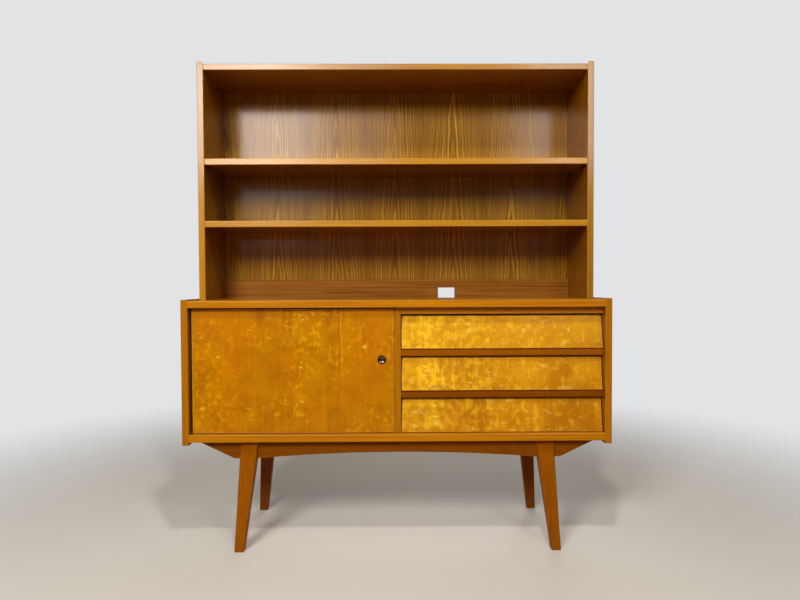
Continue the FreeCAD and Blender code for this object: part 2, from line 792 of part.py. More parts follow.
def leg(side, end):
    """side is 1 on the right, end is 1 at the back: the leg's front outline met by its side outline."""
    foot_outer = leg_outer_x + foot_splay
    foot_rear = rear_y + foot_reach
    top_rear = rear_y - leg_top_set_back
    seen_in_front = (
        (foot_outer, 0),
        (leg_outer_x, bottom_low),
        (leg_inner_x, bottom_low),
        (foot_outer - foot_width, 0),
    )
    seen_from_side = (
        (foot_rear, 0),
        (top_rear, bottom_low),
        (top_rear - leg_top_depth, bottom_low),
        (foot_rear - foot_depth, 0),
    )
    outline = [(side * x, z) for x, z in seen_in_front]
    across = plate_in_xz(outline, front_y - foot_reach, rear_y + foot_reach)
    along = plate_in_yz([(end * y, z) for y, z in seen_from_side], -half_width, half_width)
    post = across.common(along)
    post = ease(post, leg_ease, lambda low, high: high.z - low.z > bottom_low / 2)
    rail_outer = rear_y - base_rail_set_back
    slot_y = (end * rail_outer, end * (rail_outer - base_rail_board))
    slot = block((-half_width, half_width), slot_y, (bottom_low - base_rail_height, bottom_low + overrun))
    return post.cut(slot)


rail_faces = (rear_y - base_rail_set_back, rear_y - base_rail_set_back - base_rail_board)
front_rail = base_rail(-rail_faces[0], -rail_faces[1])
rear_rail = base_rail(rail_faces[1], rail_faces[0])

cross_rails = {}
frame_screw_places = []
for side in (-1, 1):
    x_outer = leg_inner_x - cross_rail_gap
    x_inner = x_outer - cross_rail_board
    low = bottom_low - cross_rail_height
    body = block((side * x_inner, side * x_outer), (-rail_faces[1], rail_faces[1]), (low, bottom_low))
    tenon = block(
        (side * (x_inner + cross_tenon_shoulder), side * (x_outer - cross_tenon_shoulder)),
        (-rail_faces[1] - cross_tenon, rail_faces[1] + cross_tenon),
        (low + cross_tenon_shoulder, bottom_low - cross_tenon_shoulder),
    )
    cross_rails[side] = body.fuse(tenon).removeSplitter()
    front_rail = front_rail.cut(cross_rails[side])
    rear_rail = rear_rail.cut(cross_rails[side])
    middle_x = side * (x_inner + x_outer) / 2
    for y in shares_between(-rail_faces[1], rail_faces[1], frame_screw_shares):
        frame_screw_places.append((middle_x, y))

frame_screws = []
for x, y in frame_screw_places:
    seat = bottom_low - frame_screw_seat
    screw = sunk_screw(
        V(x, y, seat),
        AXIS_Z,
        frame_screw_seat + frame_screw_bite,
        frame_screw_radius,
        frame_screw_head_radius,
        frame_screw_head_height,
    )
    well_low = bottom_low - base_rail_height - overrun
    well = rod(frame_screw_well_radius, V(x, y, well_low), AXIS_Z, seat - well_low)
    frame_screws.append(screw)
    bottom_panel = bottom_panel.cut(screw)
    for side in cross_rails:
        cross_rails[side] = cross_rails[side].cut(well).cut(screw)

# Slots that the staples' legs make
lower_back = lower_back.cut(all_staples)
upper_back = upper_back.cut(all_staples)
bottom_panel = bottom_panel.cut(all_staples)
top_panel = top_panel.cut(all_staples)
upper_top = upper_top.cut(all_staples)
for side in (-1, 1):
    upper_sides[side] = upper_sides[side].cut(all_staples)

# Nodes
save("left_side_panel", lower_sides[-1])
save("right_side_panel", lower_sides[1])
save("bottom_panel", bottom_panel)
save("top_panel", top_panel)
save("divider_panel", divider)
save("lower_back_panel", lower_back)
save("cupboard_shelf", cupboard_shelf)
save("door_stop_rail", door_stop)
for level, name in rail_names.items():
    save(name, rails[level])
save("drawer_runners", *runners)
save("case_tongues", *tongues)
save("upper_case_dowels", *dowels)
save("back_panel_staples", *staples)
save("shelf_pins", *shelf_pins)
save("upper_left_side", upper_sides[-1])
save("upper_right_side", upper_sides[1])
save("upper_top_panel", upper_top)
save("upper_back_panel", upper_back)
save("back_batten", back_batten)
save("fixed_shelf", fixed_shelf)
save("adjustable_shelf", loose_shelf)
save("front_base_rail", front_rail)
save("rear_base_rail", rear_rail)
save("left_cross_rail", cross_rails[-1])
save("right_cross_rail", cross_rails[1])
for name, side, end in (
    ("front_left_leg", -1, -1),
    ("front_right_leg", 1, -1),
    ("rear_left_leg", -1, 1),
    ("rear_right_leg", 1, 1),
):
    save(name, leg(side, end))
save("frame_screws", *frame_screws)
save("lower_pivot_plate", lower_pivot)
save("upper_pivot_plate", upper_pivot)
save("strike_plate", strike_plate)
save("case_plate_screws", *case_plate_screws, *strike_screws)
save("door_panel", door)
save("door_lower_pivot_plate", door_lower_pivot)
save("door_upper_pivot_plate", door_upper_pivot)
save("door_plate_screws", *door_plate_screws)
save("lock_cylinder", lock_cylinder)
save("lock_case", lock_case)
save("lock_screws", *lock_screws)
save("lock_plug", lock_plug)
save("lock_bolt", lock_bolt)
for level, name in ((2, "upper_drawer"), (1, "middle_drawer"), (0, "lower_drawer")):
    for piece, shape in drawer(level).items():
        save(name + "_" + piece, shape)
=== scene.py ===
import math

import bpy
import numpy as np
from mathutils import Matrix, Vector


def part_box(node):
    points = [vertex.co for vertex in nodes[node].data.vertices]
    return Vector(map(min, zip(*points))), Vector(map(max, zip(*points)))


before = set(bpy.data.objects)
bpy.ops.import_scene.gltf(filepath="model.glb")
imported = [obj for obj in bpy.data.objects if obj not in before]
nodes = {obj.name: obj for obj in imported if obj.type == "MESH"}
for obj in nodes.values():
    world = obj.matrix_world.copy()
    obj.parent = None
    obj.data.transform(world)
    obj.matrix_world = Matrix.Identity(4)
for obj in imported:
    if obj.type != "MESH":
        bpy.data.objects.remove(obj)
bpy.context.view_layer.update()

# Bookcase cabinet. Metres; X to the right, Y to the back, Z up from the floor. Every piece of the part is
# a CAD node, so this script gives the finishes (lacquered figured veneers, solid wood, plywood and metal),
# the floor, the light and the camera.

# Places on the cabinet
front_y = -0.1725               # front edges of the lower case
face_y = -0.1525                # fronts of the door and the divider
inner_x = 0.606                 # inner faces of the lower case's sides
upper_inner_x = 0.585
upper_front_y = -0.0675         # front edges of the upper case's sides
back_panel_y = 0.1605           # fronts of both backs
side_lip_depth = 0.004          # lippings on the front edges of upright boards
level_lip_depth = 0.006         # and of level ones
lock_centre = (-0.045, 0.557)   # x and z
pin_front_set_back = 0.04       # front row of holes behind the side's edge
pin_back_set_in = 0.055         # rear row before the back
pin_pitch = 0.05
pin_radius = 0.0025


def colour(red, green, blue):
    """A colour as a screen shows it, 0 to 255, as Blender's linear values."""
    values = np.array([red, green, blue]) / 255.0
    linear = np.where(values <= 0.04045, values / 12.92, ((values + 0.055) / 1.055) ** 2.4)
    return (*linear.tolist(), 1.0)


def pair(dark, pale):
    """The two tones that a wood's figure runs between."""
    return colour(*dark), colour(*pale)


# Woods, dark and pale
amber = pair((160, 96, 0), (196, 128, 4))
brown = pair((116, 67, 0), (148, 94, 2))
level_lip = pair((166, 100, 0), (202, 134, 4))
side_lip = pair((152, 92, 0), (184, 120, 2))
upper_lip = pair((160, 106, 0), (197, 141, 2))
# painted shade: a darker copy of the upper lipping for the upper top's front, where the light is too strong
upper_top_lip_painted_shade = pair((136, 88, 0), (172, 120, 4))
# painted shade: a darker copy of the upper lipping for the right upper side, which gets less light
upper_right_lip_painted_shade = pair((136, 88, 0), (168, 118, 2))
# painted light: the top drawer rail is lighter than the other rails, against the shade of the top board over
# it
top_rail_painted_light = pair((160, 98, 2), (190, 124, 10))
middle_rail_wood = pair((130, 69, 0), (158, 90, 0))
# painted shade: the lowest drawer rail is darker than the middle one, for the shade under the drawer front
# over it
low_rail_painted_shade = pair((114, 56, 0), (140, 76, 0))
batten_wood = pair((116, 66, 10), (168, 108, 34))
leg_wood = pair((128, 67, 0), (162, 94, 0))
# painted shade: the rear legs are a darker copy of the front legs' wood, for the case's shadow over them
rear_leg_painted_shade = pair((106, 52, 0), (140, 76, 0))
base_rail_wood = pair((112, 57, 0), (145, 81, 0))
door_veneer = pair((158, 92, 0), (224, 160, 0))
drawer_veneer = pair((178, 113, 0), (248, 196, 30))
back_leaves = pair((194, 142, 40), (207, 157, 50))
plywood = pair((164, 126, 80), (206, 172, 122))
raw_back = pair((170, 134, 88), (204, 170, 122))
box_wood = pair((186, 150, 102), (222, 190, 142))
tongue_wood = pair((190, 158, 112), (226, 198, 152))

# Marks on them
board_pores = colour(70, 32, 4)
# wear and a painted highlight on the eased front edges of boards
board_edge_wear_and_highlight = colour(232, 176, 104)
board_dents = colour(60, 28, 8)
# painted shade laid over the upper sides' lippings towards the top
lip_painted_shade = colour(96, 60, 0)
# painted shade in and round the pin holes
hole_painted_shade = colour(18, 6, 0)
# painted shadow on a rail's top edge, under the gap to the drawer front over it
gap_painted_shadow = colour(84, 30, 0)
veneer_pores = colour(110, 55, 0)
# wear and a painted highlight on the eased front edges of the veneered fronts
veneer_edge_wear_and_highlight = colour(248, 196, 120)
back_lines = colour(120, 73, 12)
back_joints = colour(70, 38, 12)
back_pores = colour(66, 34, 10)
raw_pores = colour(96, 66, 34)


class Graph:
    """Puts nodes into one node tree. Most methods give back the socket with their result."""

    def __init__(self, tree):
        self.tree = tree

    def node(self, kind, **settings):
        made = self.tree.nodes.new(kind)
        for name, value in settings.items():
            setattr(made, name, value)
        return made

    def feed(self, socket, value):
        """Links the value to the socket, or sets it there where it is a constant."""
        if isinstance(value, bpy.types.NodeSocket):
            self.tree.links.new(value, socket)
        else:
            socket.default_value = value

    def in_order(self, made, *values):
        """Feeds a node's first inputs and gives back its outputs."""
        for socket, value in zip(made.inputs, values):
            self.feed(socket, value)
        return made.outputs

    def by_name(self, made, **values):
        """Feeds a node's inputs by their names, with _ for a space, and gives back its outputs."""
        for name, value in values.items():
            self.feed(made.inputs[name.replace("_", " ")], value)
        return made.outputs

    def math(self, operation, first, second=0.0, third=0.0, clamp=False):
        made = self.node("ShaderNodeMath", operation=operation, use_clamp=clamp)
        return self.in_order(made, first, second, third)[0]

    def product(self, *values):
        result = values[0]
        for value in values[1:]:
            result = self.math("MULTIPLY", result, value)
        return result

    def squared(self, value):
        return self.math("MULTIPLY", value, value)

    def apart(self, value, other):
        """How far a value is from another, whichever is the larger."""
        return self.math("ABSOLUTE", self.math("SUBTRACT", value, other))

    def join(self, x, y, z):
        return self.in_order(self.node("ShaderNodeCombineXYZ"), x, y, z)[0]

    def split(self, vector):
        return self.in_order(self.node("ShaderNodeSeparateXYZ"), vector)[:]

    def times(self, vector, factors):
        return self.in_order(self.node("ShaderNodeVectorMath", operation="MULTIPLY"), vector, factors)[0]

    def plus(self, vector, offset):
        return self.in_order(self.node("ShaderNodeVectorMath", operation="ADD"), vector, offset)[0]

    def noise(self, vector, scale=1.0, detail=2.0, roughness=0.5, distortion=0.0):
        """Noise as (value, colour)."""
        return self.by_name(self.node("ShaderNodeTexNoise"), Vector=vector, Scale=scale, Detail=detail,
                            Roughness=roughness, Distortion=distortion)

    def warped(self, vector, reach, **noise):
        """The vector pushed about by a colour noise, up to half the reach each way."""
        push = self.plus(self.noise(vector, **noise)[1], (-0.5, -0.5, -0.5))
        return self.plus(vector, self.times(push, reach))

    def rise(self, value, low, high):
        """0 below low, 1 above high and smooth between; low may be the larger one."""
        made = self.node("ShaderNodeMapRange", interpolation_type="SMOOTHSTEP")
        return self.by_name(made, Value=value, From_Min=low, From_Max=high)[0]

    def level(self, value, low, high, out_low=0.0, out_high=1.0):
        """Runs straight from out_low at low to out_high at high, and stays there beyond them."""
        made = self.node("ShaderNodeMapRange", clamp=True)
        return self.in_order(made, value, low, high, out_low, out_high)[0]

    def mix(self, share, first, second):
        made = self.node("ShaderNodeMix", data_type="RGBA")
        self.feed(made.inputs[0], share)
        self.feed(made.inputs[6], first)
        self.feed(made.inputs[7], second)
        return made.outputs[2]

    def paint(self, base, over, *masks):
        """The base with another colour over it, as much as the masks' product says."""
        return self.mix(self.product(*masks), base, over)

    def use(self, group, **values):
        return self.by_name(self.node("ShaderNodeGroup", node_tree=group), **values)

    def place(self):
        return self.node("ShaderNodeTexCoord").outputs["Object"]


def new_group(name, inputs, outputs):
    """An empty node group with one Vector input, float inputs and float outputs, as (tree, graph, given
    sockets, result sockets)."""
    tree = bpy.data.node_groups.new(name, "ShaderNodeTree")
    tree.interface.new_socket("Vector", in_out="INPUT", socket_type="NodeSocketVector")
    for label, value in inputs.items():
        socket = tree.interface.new_socket(label, in_out="INPUT", socket_type="NodeSocketFloat")
        socket.default_value = value
    for label in outputs:
        tree.interface.new_socket(label, in_out="OUTPUT", socket_type="NodeSocketFloat")
    given = tree.nodes.new("NodeGroupInput").outputs
    result = tree.nodes.new("NodeGroupOutput").inputs
    return tree, Graph(tree), given, result


def seeded_units(graph, given, size):
    """The group's vector moved by its seed and counted in units of the size."""
    moved = graph.plus(given["Vector"], graph.join(given["Seed"], 0.0, given["Seed"]))
    scale = graph.math("DIVIDE", 1.0, size)
    return graph.times(moved, graph.join(scale, scale, scale))


def fibre_group():
    """Wood fibres along the vector's Z: noise drawn out along Z, as coarse streaks and fine dark pores."""
    tree, graph, given, result = new_group("wood fibres", {"Width": 0.004, "Length": 0.2}, ("Tone", "Pores"))
    pore_fineness = (5.0, 5.0, 6.0)
    across = graph.math("DIVIDE", 1.0, given["Width"])
    along = graph.math("DIVIDE", 1.0, given["Length"])
    stretched = graph.times(given["Vector"], graph.join(across, across, along))
    streaks = graph.noise(stretched, detail=3.0, roughness=0.6)[0]
    graph.feed(result["Tone"], graph.level(streaks, 0.3, 0.7))
    pores = graph.noise(graph.times(stretched, pore_fineness), detail=1.0)[0]
    graph.feed(result["Pores"], graph.rise(pores, 0.62, 0.78))
    return tree


def blister_group():
    """Figure of rotary-cut veneer: broad clouds, patches with a clear outline, and a light crest and a dark
    hollow at each patch's lower and upper end."""
    tree, graph, given, result = new_group("blister figure", {"Size": 0.02, "Cover": 0.5, "Seed": 0.0},
                                           ("Clouds", "Patches", "Crests", "Hollows"))
    softness = 0.14             # of a patch's outline
    shift = (0.0, 0.0, 0.22)    # lowers a copy of the patches, for their crests and hollows
    elsewhere = (7.0, 0.0, 3.0)
    even = seeded_units(graph, given, given["Size"])
    bent = graph.warped(even, (0.9, 0.0, 0.9), scale=1.4, detail=2.0, roughness=0.6)
    clouds = graph.noise(bent, scale=0.28, detail=3.0, roughness=0.6)[0]
    edge = graph.math("SUBTRACT", 1.0, given["Cover"])
    sharp_edge = graph.math("ADD", edge, softness)

    def patches(where):
        return graph.rise(graph.noise(where, detail=3.0, roughness=0.57)[0], edge, sharp_edge)

    patch = patches(bent)
    upper_patch = patches(graph.plus(bent, shift))
    broken = graph.rise(graph.noise(graph.plus(even, elsewhere), scale=0.9, detail=1.0)[0], 0.46, 0.6)
    crest = graph.math("SUBTRACT", upper_patch, patch, clamp=True)
    graph.feed(result["Clouds"], graph.level(clouds, 0.32, 0.68))
    graph.feed(result["Patches"], patch)
    graph.feed(result["Crests"], graph.product(crest, broken))
    graph.feed(result["Hollows"], graph.math("SUBTRACT", patch, upper_patch, clamp=True))
    return tree


def fleck_group():
    """Flecks of a blistered veneer: small light spots, open upwards, each with a dark one over it."""
    tree, graph, given, result = new_group(
        "flecks", {"Pitch": 0.03, "Share": 0.4, "Size": 0.22, "Seed": 0.0}, ("Lights", "Darks"))
    width_share = 0.62          # squeezes the cells' X, so the spots are wider than high
    rise_of_dark = 0.11
    smallest, growth = 0.35, 1.5
    core_share = 0.25           # of a spot's radius
    cover_share = 0.65          # how much a dark spot hides of its light one
    even = seeded_units(graph, given, given["Pitch"])
    bent = graph.warped(even, (1.1, 0.0, 0.8), scale=1.9, detail=3.0, roughness=0.6)
    x, y, z = graph.split(bent)
    spots = []
    for lower in (0.0, -rise_of_dark):
        cells = graph.node("ShaderNodeTexVoronoi", voronoi_dimensions="2D", feature="F1")
        at = graph.join(graph.product(x, width_share), graph.math("ADD", z, lower), 0.0)
        graph.by_name(cells, Vector=at, Scale=1.0)
        pick, own = graph.split(cells.outputs["Color"])[:2]
        varied = graph.math("MULTIPLY_ADD", graph.squared(own), growth, smallest)
        radius = graph.product(given["Size"], varied)
        spot = graph.rise(cells.outputs["Distance"], radius, graph.product(radius, core_share))
        spots.append(graph.product(spot, graph.math("LESS_THAN", pick, given["Share"])))
    light, dark = spots
    graph.feed(result["Lights"], graph.math("SUBTRACT", light, graph.product(dark, cover_share), clamp=True))
    graph.feed(result["Darks"], graph.math("SUBTRACT", dark, light, clamp=True))
    return tree


def nick_group():
    """Small dark dents: round spots about a few of the cells' points."""
    tree, graph, given, result = new_group("nicks", {"Pitch": 0.03, "Share": 0.3}, ("Mask",))
    cells = graph.node("ShaderNodeTexVoronoi", feature="F1")
    graph.by_name(cells, Vector=given["Vector"], Scale=graph.math("DIVIDE", 1.0, given["Pitch"]))
    spot = graph.rise(cells.outputs["Distance"], 0.05, 0.02)
    pick = graph.split(cells.outputs["Color"])[0]
    graph.feed(result["Mask"], graph.product(spot, graph.math("LESS_THAN", pick, given["Share"])))
    return tree


def arch_group():
    """Crown-cut veneer leaves side by side. In each leaf the lines are tall narrow points with a rounded
    tip, which stand nearly upright beside the leaf's middle and get finer towards its sides."""
    tree, graph, given, result = new_group(
        "arched leaves", {"Leaf": 0.2, "Offset": 0.0, "Step": 0.15, "Steep": 13.0, "Bow": 60.0},
        ("Tone", "Leaf Tone", "Joint"))
    wander = 0.12               # of the lines sideways, as a share of the leaf
    tip_rounding = 0.00002
    x, y, z = graph.split(given["Vector"])
    shifted = graph.math("DIVIDE", graph.math("SUBTRACT", x, given["Offset"]), given["Leaf"])
    counted = graph.math("ADD", shifted, 0.5)
    number = graph.math("FLOOR", counted)
    across = graph.math("SUBTRACT", graph.math("FRACT", counted), 0.5)
    bend = graph.noise(graph.join(graph.product(x, 22.0), number, graph.product(z, 7.0)))[0]
    moved = graph.math("MULTIPLY_ADD", graph.math("SUBTRACT", bend, 0.5), wander, across)
    squared = graph.squared(graph.product(moved, given["Leaf"]))
    pointed = graph.math("SQRT", graph.math("ADD", squared, tip_rounding))
    bowed = graph.math("MULTIPLY_ADD", squared, given["Bow"], graph.product(pointed, given["Steep"]))
    own = graph.noise(graph.join(number, 3.7, 0.0), scale=2.3)[0]
    height = graph.math("DIVIDE", graph.math("ADD", bowed, z), given["Step"])
    turns = graph.math("ADD", height, graph.product(own, 5.0))
    uneven = graph.noise(graph.join(turns, number, 0.0), scale=0.7, detail=2.0)[0]
    phase = graph.math("MULTIPLY_ADD", uneven, 1.6, turns)
    line = graph.rise(graph.math("PINGPONG", phase, 0.5), 0.18, 0.42)
    weight = graph.noise(graph.join(turns, number, graph.product(z, 0.8)), scale=0.9)[0]
    strength = graph.level(weight, 0.3, 0.65, 0.3, 1.0)
    reach = graph.math("ABSOLUTE", across)
    fading = graph.level(reach, 0.3, 0.46, 1.0, 0.35)
    graph.feed(result["Tone"], graph.product(line, strength, fading))
    graph.feed(result["Leaf Tone"], graph.level(own, 0.35, 0.65))
    graph.feed(result["Joint"], graph.rise(reach, 0.494, 0.498))
    return tree


fibres = fibre_group()
blisters = blister_group()
flecks = fleck_group()
nicks = nick_group()
arches = arch_group()


def new_material(name):
    material = bpy.data.materials.new(name)
    material.use_nodes = True
    return material, Graph(material.node_tree), material.node_tree.nodes["Principled BSDF"]


def lacquer(graph, shader, base, height, roughness, gloss=0.4, bump=0.2):
    """Colour, a fine bump from the grain, and a clear finish whose sheen the roughness gives."""
    bumped = graph.node("ShaderNodeBump")
    graph.by_name(bumped, Strength=bump, Distance=0.0003, Height=height)
    graph.by_name(shader, Base_Color=base, Roughness=roughness, Specular_IOR_Level=gloss,
                  Normal=bumped.outputs[0])


def along_z(graph, place, axis):
    """The place with the grain's axis turned to Z, for the fibres."""
    x, y, z = graph.split(place)
    if axis == "x":
        return graph.join(y, z, x)
    if axis == "y":
        return graph.join(z, x, y)
    return place


def edge_wear_and_highlight(graph, x, z, x_planes, z_planes):
    """1 at the eased edges of the front faces: near any of the planes, where the surface faces the front.
    What is laid there is wear and a painted highlight.
    """
    reach = 0.0013
    mask = 0.0
    for value, planes in ((x, x_planes), (z, z_planes)):
        for plane in planes:
            mask = graph.math("MAXIMUM", graph.rise(graph.apart(value, plane), reach, reach * 0.4), mask)
    normal = graph.node("ShaderNodeTexCoord").outputs["Normal"]
    forward = graph.math("LESS_THAN", graph.split(normal)[1], -0.5)
    return graph.product(mask, forward)


def planes_of(names, axis):
    """The two end planes of each node's box along the axis, each once."""
    found = set()
    for name in names:
        values = [vertex.co[axis] for vertex in nodes[name].data.vertices]
        found.update((round(min(values), 4), round(max(values), 4)))
    return sorted(found)


def strip_tones(graph, x, strips):
    """One grey tone for each upright strip of veneer; strips are (left edge, tone) from left to right."""
    left, right = -0.65, 0.65
    ramp = graph.node("ShaderNodeValToRGB")
    ramp.color_ramp.interpolation = "CONSTANT"
    stops = ramp.color_ramp.elements
    for index, (edge, tone) in enumerate(strips):
        at = (edge - left) / (right - left)
        stop = stops[index] if index < 2 else stops.new(at)
        stop.position = at
        stop.color = (tone, tone, tone, 1.0)
    return graph.in_order(ramp, graph.level(x, left, right))[0]


def shaded_holes(graph, y, z, holes):
    """1 over the pin holes and a little round them, where painted shade darkens the faces; holes are (y, z).
    """
    squeeze = 0.55              # of y, so the painted shade reaches further to the front and the back
    mask = 0.0
    for hole_y, hole_z in holes:
        from_y = graph.product(graph.math("SUBTRACT", y, hole_y), squeeze)
        from_z = graph.math("SUBTRACT", z, hole_z)
        away = graph.math("SQRT", graph.math("MULTIPLY_ADD", from_y, from_y, graph.squared(from_z)))
        mask = graph.math("MAXIMUM", graph.rise(away, 0.0042, 0.003), mask)
    return mask


def board_material(name, axis, tones, lipping=None, inside=None, shade_by_height=None, holes=(), shadowed_tops=(),
                   edges=((), ()), width=0.006, length=0.25, contrast=1.0, dent_share=0.25, gloss=0.4):
    """Lacquered wood along one axis. Lipping is its two tones and the depth y where it ends. Inside is the
    inner faces' distance from the middle and their two tones, and holes lie on those faces with painted
    shade in and round them. The shade by height is the height where painted shade starts to darken the
    lipping, the height where that ends, and its share. The shadowed tops are the heights of upper edges
    under a gap, with a painted shadow along them; edges are the planes in x and in z where wear and a
    painted highlight show."""
    roughness = 0.2
    material, graph, shader = new_material(name)
    place = graph.place()
    x, y, z = graph.split(place)
    grain = along_z(graph, place, axis)
    fibre = graph.use(fibres, Vector=grain, Width=width, Length=length)
    broad = graph.noise(graph.times(grain, (14.0, 14.0, 1.4)), detail=2.0, distortion=0.4)[0]
    tone = graph.math("ADD", graph.product(fibre["Tone"], 0.6), graph.product(broad, 0.55))
    tone = graph.level(tone, 0.5 - 0.4 / contrast, 0.5 + 0.55 / contrast)
    base = graph.mix(tone, *tones)
    if inside is not None:
        limit, inner_tones = inside
        within = graph.rise(graph.math("ABSOLUTE", x), limit + 0.0102, limit + 0.0098)
        calm = graph.level(tone, 0.0, 1.0, 0.3, 0.7)
        base = graph.mix(within, base, graph.mix(calm, *inner_tones))
        if holes:
            # painted shade in and round the pin holes on the inner faces
            base = graph.paint(base, hole_painted_shade, shaded_holes(graph, y, z, holes), within)
    if lipping is not None:
        lip_tones, lip_end_y = lipping
        lip = graph.mix(tone, *lip_tones)
        # painted shade: the lipping darkens towards the top, between the given heights
        if shade_by_height is not None:
            low, high, share = shade_by_height
            lip = graph.paint(lip, lip_painted_shade, graph.level(z, low, high, 0.0, share))
        base = graph.paint(base, lip, graph.math("LESS_THAN", y, lip_end_y))
    base = graph.paint(base, board_pores, fibre["Pores"], 0.22)
    # wear and a painted highlight on the eased front edges
    if edges[0] or edges[1]:
        base = graph.paint(base, board_edge_wear_and_highlight, edge_wear_and_highlight(graph, x, z, *edges), 0.35)
    # painted shadow along each top edge under a gap
    for top in shadowed_tops:
        base = graph.paint(base, gap_painted_shadow, graph.rise(graph.apart(z, top), 0.0034, 0.0016), 0.8)
    dents = graph.use(nicks, Vector=place, Pitch=0.045, Share=dent_share)["Mask"]
    base = graph.paint(base, board_dents, dents, 0.75)
    smear = graph.noise(graph.times(place, (5.0, 5.0, 5.0)), detail=3.0)[0]
    sheen = graph.level(smear, 0.3, 0.7, roughness - 0.03, roughness + 0.05)
    height = graph.math("SUBTRACT", graph.product(fibre["Tone"], 0.3), dents)
    lacquer(graph, shader, base, height, sheen, gloss)
    return material


def gathering(graph, flat, seed, spacing, everywhere, patches):
    """How much the blisters gather: in clusters, in patches of (x, z, reach), and a share everywhere."""
    height_share = 1.5          # a patch is this much higher than wide
    x, y, z = graph.split(flat)
    clusters = graph.noise(graph.plus(flat, (seed, 0.0, seed)), scale=spacing, detail=1.0)[0]
    gathered = graph.math("MAXIMUM", graph.rise(clusters, 0.42, 0.62), everywhere)
    for centre_x, centre_z, reach in patches:
        from_x = graph.math("DIVIDE", graph.math("SUBTRACT", x, centre_x), reach)
        from_z = graph.math("DIVIDE", graph.math("SUBTRACT", z, centre_z), reach * height_share)
        away = graph.math("ADD", graph.squared(from_x), graph.squared(from_z))
        gathered = graph.math("MAXIMUM", gathered, graph.rise(away, 1.0, 0.1))
    return gathered


def plain_veneer(graph, flat, fibre):
    """Amber veneer without blisters."""
    broad = graph.noise(graph.times(flat, (16.0, 0.0, 1.6)), detail=2.0, distortion=0.4)[0]
    tone = graph.math("MULTIPLY_ADD", fibre["Tone"], 0.45, graph.product(broad, 0.6))
    return graph.mix(graph.level(tone, 0.2, 0.9), *amber)


def figured_material(name, tones, bright, warm, shares, strips, edges, cover, size, spacing, fleck, roughness,
                     seams=(), seed=0.0, patches=(), everywhere=0.0, by_height=None, pale_side=None,
                     plain_behind=None):
    """Figured veneer with upright grain: strips, clouds, fibres, and blisters that gather in places. Cover
    is the patches' share, or how it changes with x; fleck is their pitch, share and size; by_height is how
    the tone changes with z; a seam is its x. Pale_side is the x of the left end's rounding, which is painted
    lighter as painted light, and behind plain_behind the veneer is plain. Shares say how strongly each part
    of the figure shows, and the edges' share how strongly wear and a painted highlight show."""
    material, graph, shader = new_material(name)
    place = graph.place()
    x, y, z = graph.split(place)
    flat = graph.join(x, 0.0, z)
    bend = graph.noise(graph.join(0.0, seed, graph.product(z, 13.0)), detail=2.0)[0]
    swayed = graph.math("ADD", x, graph.product(graph.math("SUBTRACT", bend, 0.5), 0.018))
    fibre = graph.use(fibres, Vector=flat, Width=0.005, Length=0.16)
    if isinstance(cover, tuple):
        cover = graph.level(x, *cover)
    figure = graph.use(blisters, Vector=flat, Size=size, Cover=cover, Seed=seed)
    gathered = gathering(graph, flat, seed, spacing, everywhere, patches)

    grained = graph.level(fibre["Tone"], 0.15, 0.85, 0.6, 1.0)
    lifted = graph.product(figure["Patches"], gathered, grained)
    speckle = graph.noise(graph.times(flat, (420.0, 0.0, 300.0)), detail=1.0)[0]
    tone = graph.product(graph.math("SUBTRACT", speckle, 0.5), 2.0 * shares["speckle"])
    for value, share in ((strip_tones(graph, swayed, strips), 0.3), (figure["Clouds"], shares["clouds"]),
                         (fibre["Tone"], shares["fibres"]), (lifted, shares["patches"])):
        tone = graph.math("MULTIPLY_ADD", value, share, tone)
    # where asked, the tone changes with height; the drawers use this as painted shade on the lower fronts
    if by_height is not None:
        tone = graph.math("ADD", tone, graph.level(z, *by_height))
    dark = tones[0]
    base = graph.mix(graph.level(tone, 0.1, 1.0), *tones)
    drift = graph.noise(graph.times(flat, (11.0, 0.0, 2.6)), detail=2.0, distortion=0.5)[0]
    base = graph.paint(base, warm, graph.level(drift, 0.42, 0.62, 0.0, 0.4))

    streaked = graph.level(fibre["Tone"], 0.0, 1.0, 0.5, 1.0)
    base = graph.paint(base, bright, figure["Crests"], gathered, streaked, shares["crests"])
    base = graph.paint(base, dark, figure["Hollows"], gathered, shares["hollows"])
    pitch, share, spot_size = fleck
    spots = graph.use(flecks, Vector=flat, Pitch=pitch, Share=share, Size=spot_size, Seed=seed)
    lights = graph.product(spots["Lights"], graph.level(gathered, 0.0, 1.0, 0.25, 1.0))
    base = graph.paint(base, dark, spots["Darks"], shares["fleck shades"])
    base = graph.paint(base, bright, lights, shares["flecks"])

    clear = graph.level(z, 0.42, 0.66, 0.3, 1.0)
    for seam in seams:
        beside = graph.math("SUBTRACT", swayed, seam)
        pale_line = graph.rise(graph.math("ABSOLUTE", beside), 0.0022, 0.0004)
        dark_line = graph.rise(graph.apart(beside, -0.004), 0.004, 0.0005)
        base = graph.paint(base, bright, pale_line, clear, 0.3)
        base = graph.paint(base, dark, dark_line, clear, 0.4)
    base = graph.paint(base, veneer_pores, fibre["Pores"], 0.16)
    # wear and a painted highlight on the eased front edges
    base = graph.paint(base, veneer_edge_wear_and_highlight, edge_wear_and_highlight(graph, x, z, *edges), shares["edges"])
    if plain_behind is not None:
        behind = graph.math("GREATER_THAN", y, plain_behind)
        base = graph.paint(base, plain_veneer(graph, flat, fibre), behind)
    # painted light: the rounded left end is lightened
    if pale_side is not None:
        base = graph.paint(base, bright, graph.rise(x, pale_side + 0.006, pale_side), 0.7)
    sheen = graph.level(figure["Clouds"], 0.0, 1.0, roughness + 0.04, roughness - 0.02)
    height = graph.math("ADD", graph.product(fibre["Tone"], 0.25), graph.product(lights, 0.3))
    lacquer(graph, shader, base, height, sheen)
    return material


